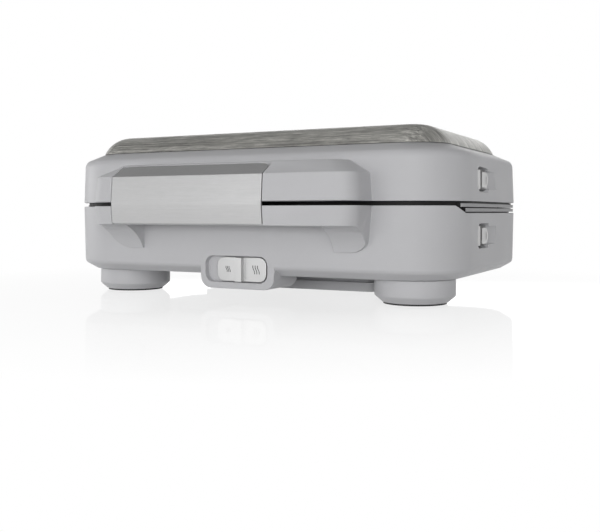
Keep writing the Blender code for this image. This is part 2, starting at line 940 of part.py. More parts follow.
def lid_skin():
    slope = lid_chamfer_rise / lid_chamfer_run
    lift = deck_thickness * math.hypot(1, slope)
    opening = lid_chamfer_inset + deck_width
    deck_inset = lid_chamfer_inset + (lift - deck_thickness) / slope
    rim = (0, lid_bottom_z)
    shoulder = (lid_chamfer_inset, lid_top_z)
    rings = [
        rim,
        *filleted(rim, (draft, lid_wall_top_z), shoulder, lid_chamfer_round),
        shoulder,
        (opening, lid_top_z),
        (opening, lid_top_z - deck_thickness),
        (deck_inset, lid_top_z - deck_thickness),
        (draft + wall, lid_wall_top_z + wall * slope - lift),
        (wall, lid_bottom_z),
    ]
    return loft([level(body_outline(inset), z) for inset, z in rings], closed=True)


def lid_core():
    """The lid filled in to the middle of its wall."""
    rings = [
        (wall / 2, lid_bottom_z),
        (draft + wall / 2, lid_wall_top_z - deck_thickness / 2),
        (lid_chamfer_inset + wall / 2, lid_top_z - deck_thickness / 2),
    ]
    return loft([level(body_outline(inset), z) for inset, z in rings])


def lid_boss(x, y):
    """A boss for a carrier screw, which grows out of the chamfer's inside."""
    low = flipped_z(carrier_bottom_z) + clearance
    return within(cylinder("Z", x, y, boss_radius, low, lid_top_z, boss_sides), lid_core())


def lid_shell():
    solid = join(lid_skin(), upper_handle())
    solid = cut(solid, latch_recess())
    pocket_radius = latch_knuckle_radius + 2 * clearance
    for low_x, high_x in latch_knuckle_spans():
        solid = cut(solid, latch_pin_bore(pocket_radius, low_x - clearance, high_x + clearance))
    pin_low, pin_high = latch_pin_ends()
    bore = latch_pin_radius + clearance
    solid = cut(solid, latch_pin_bore(bore, pin_low - clearance, pin_high + clearance))
    lower_frame_z = flipped_z(upper_button_z)
    housing_x = body_half_width - wall / 2 - draft
    solid = join(solid, turned_over(recess_housing(lower_frame_z, 0, housing_x)))
    for tool in button_pocket(lower_frame_z, upper_shank_z):
        solid = cut(solid, turned_over(tool))
    for x, y in carrier_screw_places():
        solid = join(solid, lid_boss(x, y))
        low = flipped_z(carrier_bottom_z)
        solid = cut(solid, cylinder("Z", x, y, screw_radius + clearance, low - overrun, low + boss_length))
    half = hinge_lid_knuckle_width / 2
    for center_x in (-hinge_half_spacing, hinge_half_spacing):
        solid = join(solid, hinge_knuckle(1, center_x - half, center_x + half))
        solid = cut(solid, hinge_bore(center_x))
    return solid


def panel_profile(sheet):
    """The panel's outer face as (inset, z), or its inner face when a sheet thickness is given."""
    start = Vector((lid_chamfer_inset, lid_top_z + clearance))
    points = []
    for step in range(panel_arc_steps + 1):
        angle = panel_arc_start * (1 - step / panel_arc_steps)
        run = panel_arc_radius * (math.sin(panel_arc_start) - math.sin(angle))
        rise = panel_arc_radius * (math.cos(angle) - math.cos(panel_arc_start))
        points.append(start + Vector((run, rise)))
    if sheet == 0:
        return points
    inner = offset_path(points, -sheet)
    along = inner[1] - inner[0]
    inner[0] = inner[1] - along * (inner[1].y - start.y) / along.y
    return inner


def top_panel():
    outer = panel_profile(0)
    inner = panel_profile(panel_sheet)
    rings = [level(body_outline(inset), z) for inset, z in outer]
    rings = list(reversed(rings))
    rings += [level(body_outline(inset), z) for inset, z in inner]
    solid = loft(rings)
    under = inner[-1].y
    for x in (-post_half_spacing, post_half_spacing):
        low = lamp_board_top() + clearance
        solid = join(solid, cylinder("Z", x, lamp_y, post_radius, low, under + panel_sheet / 2))
    for x in (-lamp_half_spacing, lamp_half_spacing):
        radius = lens_radius + clearance
        high = outer[-1].y + overrun
        solid = cut(solid, cylinder("Z", x, lamp_y, radius, under - overrun, high, boss_sides))
    return solid


def lamp_board_top():
    """The board hangs so low that the lens flanges fit between it and the panel."""
    return panel_profile(panel_sheet)[-1].y - lens_flange_height - 2 * clearance


# Latch

def latch_pin_ends():
    return latch_left_x + latch_pin_end_inset, latch_right_x - latch_pin_end_inset


def latch_plate():
    path = latch_path()
    rings = latch_rows(path, offset_path(path, latch_sheet), latch_left_x, latch_right_x, latch_corner)
    solid = loft(rings)
    for low_x, high_x in latch_knuckle_spans():
        solid = join(solid, latch_pin_bore(latch_knuckle_radius, low_x, high_x))
    solid = join(solid, latch_tongue_box(0, 0, 0, 0))
    low_x = latch_left_x - overrun
    high_x = latch_right_x + overrun
    return cut(solid, latch_pin_bore(latch_pin_radius + clearance, low_x, high_x))


def latch_pin():
    low_x, high_x = latch_pin_ends()
    return latch_pin_bore(latch_pin_radius, low_x, high_x)


def hinge_pin(center_x):
    reach = hinge_lid_knuckle_width / 2 + hinge_ear_width
    return cylinder("X", hinge_y, middle_z, hinge_pin_radius, center_x - reach, center_x + reach)


# Feet, cover and slider

def foot(x, y, radius, bevel_run):
    high = underside_z - clearance
    bevel_z = pad_height + foot_bevel_rise
    low_radius = radius - bevel_run
    solid = turned(x, y, [(low_radius, pad_height), (radius, bevel_z), (radius, high)], foot_sides)
    seat = low_radius - pad_margin + clearance
    return cut(solid, cylinder("Z", x, y, seat, 0, pad_height + pad_seat_depth, foot_sides))


def foot_pad(x, y, radius, bevel_run):
    pad_radius = radius - bevel_run - pad_margin
    return cylinder("Z", x, y, pad_radius, 0, pad_height + pad_seat_depth - clearance, foot_sides)


def bottom_cover():
    high = underside_z - clearance
    low = high - cover_thickness
    radii = [cover_corner] * 4
    steps = plate_corner_steps
    half = cover_half_width
    sheet = prism(rounded_outline(-half, half, cover_front_y, cover_back_y, radii, steps), "Z", low, high)
    neck_half = island_half_width - island_neck_inset
    neck_front = island_front_y + island_neck_inset
    neck_back = island_back_y - island_neck_inset
    neck_outline = rounded_outline(-neck_half, neck_half, neck_front, neck_back, radii, steps)
    flange_top = island_bottom_z + island_flange
    neck = prism(neck_outline, "Z", flange_top - island_flange / 2, low + cover_thickness / 2)
    wide = island_half_width
    island_radii = [island_corner] * 4
    flange_outline = rounded_outline(-wide, wide, island_front_y, island_back_y, island_radii, steps)
    solid = join(sheet, neck, prism(flange_outline, "Z", island_bottom_z, flange_top))
    for x, y in cover_screw_places():
        solid = cut(solid, turned(x, y, countersunk(low, high + overrun, 2 * clearance), screw_sides))
    return solid


def countersunk(low, high, growth):
    """The profile of a flat-headed screw from its head's face at low to the end of its shank at high."""
    rim_z = low + screw_head_height - (screw_head_radius - screw_radius)
    return [
        (screw_head_radius + growth, low - growth),
        (screw_head_radius + growth, rim_z),
        (screw_radius + growth, low + screw_head_height),
        (screw_radius + growth, high),
    ]


def cover_screw(x, y):
    low = underside_z - clearance - cover_thickness
    return turned(x, y, countersunk(low, low + cover_thickness + screw_length / 2, 0), screw_sides)


def carrier_screw(x, y):
    head_low = carrier_top_z + clearance
    profile = [
        (screw_radius, head_low - screw_length - carrier_thickness / 2),
        (screw_radius, head_low),
        (screw_head_radius, head_low),
        (screw_head_radius, head_low + screw_head_height),
    ]
    return turned(x, y, profile, screw_sides)


def temperature_slider():
    center = stem_center_x()
    half = slider_width / 2
    rise = pocket_height / 2 - slider_side_play
    radii = [pocket_corner - slider_side_play] * 4
    low_z = pocket_center_z - rise
    high_z = pocket_center_z + rise
    outline = rounded_outline(center - half, center + half, low_z, high_z, radii, plate_corner_steps)
    back = pod_face_y + pocket_depth - clearance
    front = back - slider_thickness
    solid = prism(outline, "Y", front, back)
    ridge_x = center + ridge_offset
    ridge_low = (ridge_x - ridge_width / 2, front - ridge_height, low_z)
    ridge = box(ridge_low, (ridge_x + ridge_width / 2, front + slider_thickness / 2, high_z))
    stem_low = (center - stem_width / 2, back - slider_thickness / 2, stem_z - stem_height / 2)
    stem = box(stem_low, (center + stem_width / 2, front + stem_length, stem_z + stem_height / 2))
    return join(solid, ridge, stem)


def temperature_switch():
    """A switch body on the base floor, with a slot for the slider's stem."""
    side = stem_width / 2 + clearance
    low_x = stem_center_x() - slider_travel - side
    high_x = stem_center_x() + side
    low_y = pod_front_block + clearance
    low_z = floor_z + clearance
    high_z = low_z + switch_height
    solid = box((low_x - switch_side, low_y, low_z), (high_x + switch_side, low_y + switch_depth, high_z))
    rise = stem_height / 2 + clearance
    slot_back = low_y + switch_depth / 2
    slot_low = (low_x, low_y - overrun, stem_z - rise)
    return cut(solid, box(slot_low, (high_x, slot_back, stem_z + rise)))


# Plates and what holds them, in the base's frame

def carrier(strip_low_z, lip_low_z, lip_high_z, start_y, with_skirt):
    """A frame round the plate, with a strip that shows in the parting gap and a lip that closes the gap."""
    rings = [
        level(body_outline(carrier_inset), carrier_bottom_z),
        level(body_outline(carrier_inset), carrier_top_z),
        level(plate_outline(plate_play), carrier_top_z),
        level(plate_outline(plate_play), ledge_top_z),
        level(plate_outline(-carrier_ledge), ledge_top_z),
        level(plate_outline(-carrier_ledge), carrier_bottom_z),
    ]
    solid = loft(rings, closed=True)
    if with_skirt:
        solid = cut(solid, recess_housing(flipped_z(upper_button_z), clearance, body_half_width))
    for x, y in carrier_screw_places():
        low = carrier_bottom_z - overrun
        solid = cut(solid, cylinder("Z", x, y, screw_radius + clearance, low, carrier_top_z + overrun))
    strip_high_z = strip_low_z + strip_thickness
    if with_skirt:
        low = carrier_top_z - strip_thickness / 2
        solid = join(solid, ring_band(skirt_inset, skirt_width, low, strip_high_z - clearance))
    strip = join(
        ring_band(strip_inset, strip_width, strip_low_z, strip_high_z),
        ring_band(lip_inset, lip_width, lip_low_z, lip_high_z))
    return join(solid, cut(strip, front_block(start_y)))


def ring_band(inset, width, low, high):
    """A flat band that follows the body outline."""
    outer = body_outline(inset)
    inner = body_outline(inset + width)
    return loft([level(outer, low), level(outer, high), level(inner, high), level(inner, low)], closed=True)


def front_block(start_y):
    """What cuts the strips off in front of the rim's step."""
    half = body_half_width + overrun
    return box((-half, -overrun, 0), (half, start_y, lid_top_z))


def pan_ring(shrink, z):
    half = pan_half_width - shrink
    low_y = plate_front_y + pan_rim_y + shrink
    high_y = plate_back_y - pan_rim_y - shrink
    return level(rounded_outline(-half, half, low_y, high_y, [pan_corner] * 4, plate_corner_steps), z)


def cook_pocket_box(side):
    """A cooking pocket's rim rectangle: low x, high x, low y, high y."""
    near = pocket_divider / 2
    far = pan_half_width - pocket_side_wall
    low_y = plate_front_y + pan_rim_y + pocket_end_wall
    high_y = plate_back_y - pan_rim_y - pocket_end_wall
    return (near, far, low_y, high_y) if side > 0 else (-far, -near, low_y, high_y)


def cook_pocket(side):
    low_x, high_x, low_y, high_y = cook_pocket_box(side)
    slope = cook_taper / cook_depth
    rings = []
    for shrink, z in ((cook_taper, plate_top_z - cook_depth), (-overrun * slope, plate_top_z + overrun)):
        radii = [pocket_round] * 4
        outline = rounded_outline(
            low_x + shrink, high_x - shrink, low_y + shrink, high_y - shrink, radii, plate_corner_steps)
        rings.append(level(outline, z))
    return loft(rings)


def cook_ridge(side):
    """The cutting ridge across a pocket's diagonal."""
    low_x, high_x, low_y, high_y = cook_pocket_box(side)
    center = Vector(((low_x + high_x) / 2, (low_y + high_y) / 2, 0))
    half_diagonal = Vector((side * (high_x - low_x) / 2, (high_y - low_y) / 2, 0))
    across = Vector((-half_diagonal.y, half_diagonal.x, 0)).normalized() * cook_ridge_width / 2
    floor = plate_top_z - cook_depth
    low = Vector((0, 0, floor - floor_thickness / 2))
    high = Vector((0, 0, floor + cook_ridge_height))
    long_half = half_diagonal * cook_ridge_length_share
    short_half = half_diagonal * cook_ridge_top_share
    crest = across * small_round / cook_ridge_width
    corners = ((-1, -1), (1, -1), (1, 1), (-1, 1))
    bottom = [center + low + end * long_half + flank * across for end, flank in corners]
    top = [center + high + end * short_half + flank * crest for end, flank in corners]
    return loft([bottom, top])


def plate_lug(side):
    """A hook under the rim: the right one's tip points inward, the left one's outward."""
    low_y = button_y - lug_width / 2
    high_y = button_y + lug_width / 2
    high_z = plate_rim_bottom_z + plate_rim / 2
    tip_top = lug_bottom_z + lug_tip_thickness
    if side > 0:
        stem = box((lug_inner_x, low_y, lug_bottom_z), (lug_outer_x, high_y, high_z))
        tip_x = lug_inner_x - lug_tip_reach
        tip = box((tip_x, low_y, lug_bottom_z), (lug_outer_x, high_y, tip_top))
    else:
        inner = lug_inner_x - lug_tip_reach
        stem = box((-inner - lug_thickness, low_y, lug_bottom_z), (-inner, high_y, high_z))
        tip = box((-lug_outer_x, low_y, lug_bottom_z), (-inner, high_y, tip_top))
    return join(stem, tip)


def cooking_plate():
    rim = loft([level(plate_outline(0), plate_rim_bottom_z), level(plate_outline(0), plate_top_z)])
    pan = loft([pan_ring(pan_taper, pan_bottom_z), pan_ring(0, plate_rim_bottom_z + plate_rim / 2)])
    solid = join(rim, pan)
    solid = cut(solid, cook_pocket(-1), cook_pocket(1))
    solid = join(solid, cook_ridge(-1), cook_ridge(1))
    return join(solid, plate_lug(-1), plate_lug(1))


def plate_clip():
    """The fixed clip that holds the lug on the left."""
    low_y = button_y - lug_width / 2
    high_y = button_y + lug_width / 2
    nose_top = nose_bottom_z + nose_thickness
    lug_stem_x = -(lug_inner_x - lug_tip_reach + lug_thickness)
    root_x = -(lug_outer_x + plate_play)
    outer_x = root_x - clip_base_length
    high = carrier_bottom_z - clearance
    root = box((outer_x, low_y, lug_bottom_z), (root_x, high_y, high))
    nose_end = lug_stem_x - nose_gap
    nose = box((root_x - clip_base_length / 2, low_y, nose_bottom_z), (nose_end, high_y, nose_top))
    return join(root, nose)


def reflector():
    def tray_ring(shrink, z):
        half = tray_half_width - shrink
        low_y = plate_front_y + tray_end_gap + shrink
        high_y = plate_back_y - tray_end_gap - shrink
        radii = [tray_corner - shrink] * 4
        return level(rounded_outline(-half, half, low_y, high_y, radii, plate_corner_steps), z)

    solid = loft([
        tray_ring(0, tray_bottom_z),
        tray_ring(0, tray_top_z),
        tray_ring(tray_sheet, tray_top_z),
        tray_ring(tray_sheet, tray_bottom_z + tray_sheet),
    ])
    front_wall = plate_front_y + tray_end_gap + tray_sheet / 2
    back_wall = plate_back_y - tray_end_gap - tray_sheet / 2
    low_z = tray_top_z - tab_thickness
    for x in (-tab_center_x, tab_center_x):
        low_x = x - tab_width / 2
        high_x = x + tab_width / 2
        front_low = (low_x, front_wall - tab_reach, low_z)
        solid = join(solid, box(front_low, (high_x, front_wall, tray_top_z)))
        solid = join(solid, box((low_x, back_wall, low_z), (high_x, back_wall + tab_reach, tray_top_z)))
    for sign in (-1, 1):
        y = plate_center_y + sign * element_half_pitch
        radius = element_radius + clearance
        low_x = tray_half_width - tray_sheet - overrun
        high_x = tray_half_width + overrun
        solid = cut(solid, cylinder("X", y, element_z, radius, low_x, high_x, boss_sides))
    return solid


def heating_element():
    """A hairpin tube; both ends leave the tray through its right wall."""
    points = [Vector((element_end_x, plate_center_y - element_half_pitch, element_z))]
    for step in range(element_arc_steps + 1):
        angle = -math.pi / 2 - math.pi * step / element_arc_steps
        x = element_arc_x + element_half_pitch * math.cos(angle)
        y = plate_center_y + element_half_pitch * math.sin(angle)
        points.append(Vector((x, y, element_z)))
    points.append(Vector((element_end_x, plate_center_y + element_half_pitch, element_z)))
    return tube(points, element_radius, element_sides)


def element_support():
    low_y = plate_center_y - element_half_pitch - support_margin
    high_y = plate_center_y + element_half_pitch + support_margin
    low_z = tray_bottom_z + tray_sheet + clearance
    high_z = element_z - element_radius + support_wrap
    low_x = support_x - support_width / 2
    high_x = support_x + support_width / 2
    solid = box((low_x, low_y, low_z), (high_x, high_y, high_z))
    for sign in (-1, 1):
        y = plate_center_y + sign * element_half_pitch
        radius = element_radius + clearance
        solid = cut(solid, cylinder("X", y, element_z, radius, low_x - overrun, high_x + overrun, boss_sides))
    return solid


def thermostat():
    low = tray_bottom_z + tray_sheet + clearance
    body_top = low + thermostat_body
    profile = [
        (thermostat_radius, low),
        (thermostat_radius, body_top),
        (sensor_radius, body_top),
        (sensor_radius, pan_bottom_z - clearance),
    ]
    return turned(0, plate_center_y, profile, boss_sides)


def thermal_fuse():
    z = tray_bottom_z - clearance - fuse_radius
    low_x = fuse_x - fuse_length / 2
    return cylinder("X", fuse_y, z, fuse_radius, low_x, low_x + fuse_length)


def release_button(button_z, shank_z):
    """Swelling head with a lip at its back end, shank through the pocket, and a nose over the plate's lug."""
    low_y = button_y - button_width / 2
    high_y = button_y + button_width / 2
    lip_y = high_y - button_lip
    lip_x = body_half_width - button_lip_rise
    rise = button_crown - button_lip_rise
    radius = ((lip_y - low_y) ** 2 + rise ** 2) / (2 * rise)
    crown = arc_points(lip_x - radius, lip_y, radius, -math.asin((lip_y - low_y) / radius), 0, button_steps)
    lip = [
        (body_half_width, lip_y + button_lip_rise),
        (body_half_width, high_y - button_lip_rise),
        (lip_x, high_y),
    ]
    outline = [(button_back_x, low_y), *crown, *lip, (button_back_x, high_y)]
    low_z = button_z - button_height / 2
    high_z = button_z + button_height / 2
    radii = [0, 0, button_corner, button_corner]
    face = rounded_outline(low_y, high_y, low_z, high_z, radii, plate_corner_steps)
    swell_radius = ((button_height / 2) ** 2 + button_swell ** 2) / (2 * button_swell)
    turn = math.asin(button_height / 2 / swell_radius)
    swell = arc_points(body_half_width - swell_radius, button_z, swell_radius, -turn, turn, button_steps)
    swell_outline = [(button_back_x, low_z), *swell, (button_back_x, high_z)]
    head = within(
        prism(outline, "Z", low_z - overrun, high_z + overrun),
        prism(face, "X", button_back_x - overrun, body_half_width + overrun))
    head = within(head, prism(swell_outline, "Y", low_y - overrun, high_y + overrun))
    side = shank_width / 2
    riser_x = nose_tip_x - nose_overlap - lug_tip_reach
    shank_low = (riser_x - riser_thickness, button_y - side, shank_z - shank_height / 2)
    shank = box(shank_low, (button_back_x + button_edge / 2, button_y + side, shank_z + shank_height / 2))
    nose_top = nose_bottom_z + nose_thickness
    riser = box((riser_x - riser_thickness, button_y - side, shank_z), (riser_x, button_y + side, nose_top))
    nose_low = (riser_x - riser_thickness / 2, button_y - side, nose_bottom_z)
    nose = box(nose_low, (nose_tip_x, button_y + side, nose_top))
    return join(head, shank, riser, nose)


def release_spring(shank_z):
    low_x = pocket_face_x + clearance + spring_wire
    high_x = button_back_x - clearance - spring_wire
    total = spring_turns * spring_turn_steps
    points = []
    for step in range(total + 1):
        angle = 2 * math.pi * step / spring_turn_steps
        x = low_x + (high_x - low_x) * step / total
        y = button_y + spring_radius * math.cos(angle)
        z = shank_z + spring_radius * math.sin(angle)
        points.append(Vector((x, y, z)))
    return tube(points, spring_wire, spring_sides)


# Wiring pieces and lamps

def terminal_block():
    low_z = floor_z + clearance
    high_z = low_z + terminal_height
    low = (terminal_x - terminal_width / 2, terminal_y - terminal_depth / 2, low_z)
    solid = box(low, (terminal_x + terminal_width / 2, terminal_y + terminal_depth / 2, high_z))
    pitch = terminal_width / terminal_ways
    middle = (low_z + high_z) / 2
    for way in range(terminal_ways):
        x = low[0] + pitch * (way + 1 / 2)
        low_y = low[1] - overrun
        high_y = low[1] + terminal_depth + overrun
        solid = cut(solid, cylinder("Y", x, middle, terminal_bore, low_y, high_y))
    return solid


def wall_y_at(z):
    """The rear wall's outer face at a height of the base."""
    return body_depth - draft * (base_top_z - z) / base_wall_height


def cord_gland():
    """A bush through the rear wall, with a flange on each side."""
    flange_radius = gland_radius + gland_flange
    outer_y = wall_y_at(gland_z + flange_radius) + clearance
    inner_y = wall_y_at(gland_z - flange_radius) - wall - clearance
    low_y = inner_y - gland_flange_width
    high_y = outer_y + gland_flange_width
    solid = cylinder("Y", gland_x, gland_z, gland_radius, low_y, high_y, barrel_sides)
    outer = cylinder("Y", gland_x, gland_z, flange_radius, outer_y, high_y, barrel_sides)
    inner = cylinder("Y", gland_x, gland_z, flange_radius, low_y, inner_y, barrel_sides)
    solid = join(solid, outer, inner)
    far_y = high_y + overrun
    return cut(solid, cylinder("Y", gland_x, gland_z, gland_bore, low_y - overrun, far_y, boss_sides))


def lamp_lens(x):
    flange_low = lamp_board_top() + clearance
    flange_high = flange_low + lens_flange_height
    profile = [
        (lens_flange_radius, flange_low),
        (lens_flange_radius, flange_high),
        (lens_radius, flange_high),
        (lens_radius, panel_profile(0)[-1].y),
    ]
    return turned(x, lamp_y, profile, boss_sides)


def lamp_board():
    top = lamp_board_top()
    low = (-board_half_width, lamp_y - board_half_depth, top - board_thickness)
    return box(low, (board_half_width, lamp_y + board_half_depth, top))


# Assembly

def make_pivot(name, parent, location):
    pivot = bpy.data.objects.new(name, None)
    bpy.context.scene.collection.objects.link(pivot)
    pivot.location = location
    pivot.parent = parent
    return pivot


def place(name, solid, material, pivot, pivot_location):
    """Link a solid drawn in the body frame under a pivot that stands at a place in that frame."""
    bmesh.ops.translate(solid, vec=-Vector(pivot_location), verts=solid.verts)
    item = as_object(name, solid)
    item.data.materials.append(material)
    item.data.shade_smooth()
    item.data.set_sharp_from_angle(angle=math.radians(30))
    item.parent = pivot
    return item


def build_base(materials, body):
    still = Vector((0, 0, 0))

    def add(name, solid, key):
        place(name, solid, materials[key], body, still)

    add("base_shell", base_shell(), "shell")
    add("bottom_cover", bottom_cover(), "shell")
    for side, sign in (("left", -1), ("right", 1)):
        front = (sign * front_foot_x, front_foot_y, front_foot_radius, front_foot_bevel_run)
        rear = (sign * rear_foot_x, rear_foot_y, rear_foot_radius, rear_foot_bevel_run)
        add(f"front_foot_{side}", foot(*front), "shell")
        add(f"front_pad_{side}", foot_pad(*front), "rubber")
        add(f"rear_foot_{side}", foot(*rear), "shell")
        add(f"rear_pad_{side}", foot_pad(*rear), "rubber")
        add(f"hinge_pin_{side}", hinge_pin(sign * hinge_half_spacing), "steel")
    strip_low_z = carrier_top_z - strip_thickness
    lip_low_z = carrier_top_z - strip_thickness / 2
    lip_high_z = lid_bottom_z - lid_strip_drop - clearance
    add("base_carrier", carrier(strip_low_z, lip_low_z, lip_high_z, base_strip_start_y, False), "frame")
    add("lower_plate", cooking_plate(), "coating")
    add("lower_element", heating_element(), "element")
    add("lower_element_support", element_support(), "steel")
    add("lower_reflector", reflector(), "tray")
    add("lower_plate_clip", plate_clip(), "steel")
    add("lower_thermostat", thermostat(), "ceramic")
    add("lower_release_spring", release_spring(lower_button_z), "steel")
    add("thermal_fuse", thermal_fuse(), "ceramic")
    add("temperature_switch", temperature_switch(), "dark")
    add("terminal_block", terminal_block(), "ceramic")
    add("cord_gland", cord_gland(), "dark")
    for index, (x, y) in enumerate(cover_screw_places(), 1):
        add(f"cover_screw_{index}", cover_screw(x, y), "steel")
    for index, (x, y) in enumerate(carrier_screw_places(), 1):
        add(f"base_carrier_screw_{index}", carrier_screw(x, y), "steel")


def build_lid(materials, body):
    axis = Vector((0, hinge_y, middle_z))
    lid = make_pivot("lid_axis", body, axis)

    def add(name, solid, key):
        place(name, solid, materials[key], lid, axis)

    add("lid_shell", lid_shell(), "shell")
    add("top_panel", top_panel(), "panel")
    strip_low_z = flipped_z(lid_bottom_z - lid_strip_drop + strip_thickness)
    lip_low_z = flipped_z(lid_bottom_z - clearance)
    lip_high_z = strip_low_z + strip_thickness / 2
    frame = carrier(strip_low_z, lip_low_z, lip_high_z, lid_strip_start_y, True)
    add("lid_carrier", turned_over(frame), "frame")
    add("upper_plate", turned_over(cooking_plate()), "coating")
    add("upper_element", turned_over(heating_element()), "element")
    add("upper_element_support", turned_over(element_support()), "steel")
    add("upper_reflector", turned_over(reflector()), "tray")
    add("upper_plate_clip", turned_over(plate_clip()), "steel")
    add("upper_thermostat", turned_over(thermostat()), "ceramic")
    add("upper_release_spring", turned_over(release_spring(upper_shank_z)), "steel")
    add("power_lens", lamp_lens(-lamp_half_spacing), "red_lens")
    add("ready_lens", lamp_lens(lamp_half_spacing), "green_lens")
    add("lamp_board", lamp_board(), "dark")
    add("latch_pin", latch_pin(), "steel")
    for index, (x, y) in enumerate(carrier_screw_places(), 1):
        add(f"lid_carrier_screw_{index}", turned_over(carrier_screw(x, y)), "steel")
    latch_y, latch_z = latch_axis()
    latch_place = Vector((0, latch_y, latch_z))
    latch = make_pivot("latch_axis", lid, latch_place - axis)
    place("latch_plate", latch_plate(), materials["silver"], latch, latch_place)
    button_place = Vector((body_half_width, button_y, upper_button_z))
    button = make_pivot("upper_button_axis", lid, button_place - axis)
    solid = turned_over(release_button(flipped_z(upper_button_z), upper_shank_z))
    place("upper_release_button", solid, materials["silver"], button, button_place)


def build_controls(materials, body):
    button_place = Vector((body_half_width, button_y, lower_button_z))
    button = make_pivot("lower_button_axis", body, button_place)
    solid = release_button(lower_button_z, lower_button_z)
    place("lower_release_button", solid, materials["silver"], button, button_place)
    slider_place = Vector((stem_center_x(), pod_face_y, pocket_center_z))
    slider = make_pivot("slider_axis", body, slider_place)
    place("temperature_slider", temperature_slider(), materials["silver"], slider, slider_place)


def main():
    for item in list(bpy.data.objects):
        bpy.data.objects.remove(item)
    materials = make_materials()
    body = make_pivot("body_frame", None, Vector((0, front_wall_world_y, 0)))
    build_base(materials, body)
    build_lid(materials, body)
    build_controls(materials, body)


main()
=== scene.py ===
"""Looks of the two-slice sandwich maker: softened edges, materials, marks, light and camera.

Lengths are in metres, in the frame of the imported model: x to the right, y to the back, z up.
"""

import json
import math

import bmesh
import bpy
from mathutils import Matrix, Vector

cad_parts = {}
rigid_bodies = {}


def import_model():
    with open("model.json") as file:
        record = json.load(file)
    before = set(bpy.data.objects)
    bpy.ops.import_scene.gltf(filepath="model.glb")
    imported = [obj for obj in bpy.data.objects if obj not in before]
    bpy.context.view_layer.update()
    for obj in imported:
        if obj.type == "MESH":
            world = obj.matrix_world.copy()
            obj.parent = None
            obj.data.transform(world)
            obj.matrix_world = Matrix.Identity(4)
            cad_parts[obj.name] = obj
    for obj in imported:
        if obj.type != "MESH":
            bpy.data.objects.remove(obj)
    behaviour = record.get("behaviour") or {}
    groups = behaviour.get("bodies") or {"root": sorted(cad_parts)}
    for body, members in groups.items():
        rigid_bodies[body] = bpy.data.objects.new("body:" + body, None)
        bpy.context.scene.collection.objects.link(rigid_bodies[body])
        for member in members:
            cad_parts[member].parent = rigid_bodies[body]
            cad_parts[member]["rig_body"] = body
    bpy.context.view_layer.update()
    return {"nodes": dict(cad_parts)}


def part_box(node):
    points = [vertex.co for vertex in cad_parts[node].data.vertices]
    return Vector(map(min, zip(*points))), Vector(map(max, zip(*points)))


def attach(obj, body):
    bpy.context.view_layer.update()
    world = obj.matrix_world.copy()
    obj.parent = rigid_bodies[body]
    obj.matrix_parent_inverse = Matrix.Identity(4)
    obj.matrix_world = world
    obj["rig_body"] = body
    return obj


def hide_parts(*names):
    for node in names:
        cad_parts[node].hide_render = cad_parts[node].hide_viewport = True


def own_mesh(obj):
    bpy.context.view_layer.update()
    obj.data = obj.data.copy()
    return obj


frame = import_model()
nodes = frame["nodes"]
scene = bpy.context.scene
scene.view_settings.view_transform = "Standard"

same_point = 1e-6  # points nearer than this are welded


# Camera, at the photograph's viewing angle

camera_data = bpy.data.cameras.new("camera")
camera_data.lens = 48.756
camera_data.sensor_width = 36
camera_data.sensor_fit = "HORIZONTAL"
camera_data.shift_y = -0.09
camera_data.clip_start = 0.01
camera = bpy.data.objects.new("camera", camera_data)
camera.location = (0.2497, -0.4809, 0.0514)
camera.rotation_euler = (math.radians(90), 0, math.radians(27))
scene.collection.objects.link(camera)
scene.camera = camera


# The body's outline, seen from above

panel_low, panel_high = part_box("top_panel")
outline_half_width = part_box("base_shell")[1].x
outline_radius = 0.036
outline_center_y = (panel_low.y + panel_high.y) / 2
outline_half_depth = (panel_high.y - panel_low.y) / 2 + outline_half_width - panel_high.x


# Node helpers for the materials

def set_inputs(tree, node, inputs):
    """Give inputs their values: numbers, colours or other nodes' output sockets."""
    for name, value in inputs.items():
        socket = node.inputs[name]
        if isinstance(value, bpy.types.NodeSocket):
            tree.links.new(value, socket)
        elif socket.type == "RGBA":
            socket.default_value = (*value, 1.0)
        else:
            socket.default_value = value


def add(tree, kind, inputs=None, **settings):
    """Add a node with its settings and inputs."""
    node = tree.nodes.new(kind)
    for name, value in settings.items():
        setattr(node, name, value)
    set_inputs(tree, node, inputs or {})
    return node


def new_material(name):
    """A material, its node tree and its shader."""
    material = bpy.data.materials.new(name)
    material.use_nodes = True
    tree = material.node_tree
    return material, tree, tree.nodes["Principled BSDF"]


def calculate(tree, operation, first, second=0.0):
    """One sum with numbers."""
    inputs = {0: first, 1: second}
    return add(tree, "ShaderNodeMath", inputs, operation=operation).outputs["Value"]


def calculate_vector(tree, operation, first, second=(0.0, 0.0, 0.0)):
    """One sum with vectors; a LENGTH gives a number."""
    node = add(tree, "ShaderNodeVectorMath", {0: first, 1: second}, operation=operation)
    return node.outputs["Value" if operation == "LENGTH" else "Vector"]


def spread(tree, value, low, high, from_low=0.3, from_high=0.7):
    """A value moved from one range to another; a noise pattern mostly lies from 0.3 to 0.7."""
    inputs = {
        "Value": value, "From Min": from_low, "From Max": from_high, "To Min": low, "To Max": high,
    }
    return add(tree, "ShaderNodeMapRange", inputs).outputs["Result"]


# A Mix node's sockets share their names, so they go by their place.

def blend_values(tree, factor, first, second):
    return add(tree, "ShaderNodeMix", {0: factor, 2: first, 3: second}).outputs[0]


def blend_colors(tree, factor, first, second):
    inputs = {0: factor, 6: first, 7: second}
    return add(tree, "ShaderNodeMix", inputs, data_type="RGBA").outputs[2]


def shade(color, factor):
    return tuple(channel * factor for channel in color)


def object_point(tree):
    return add(tree, "ShaderNodeTexCoord").outputs["Object"]


def surface_normal(tree):
    return add(tree, "ShaderNodeNewGeometry").outputs["Normal"]


def stretched(tree, scale):
    """Object coordinates, scaled along each axis."""
    inputs = {"Vector": object_point(tree), "Scale": scale}
    return add(tree, "ShaderNodeMapping", inputs).outputs["Vector"]


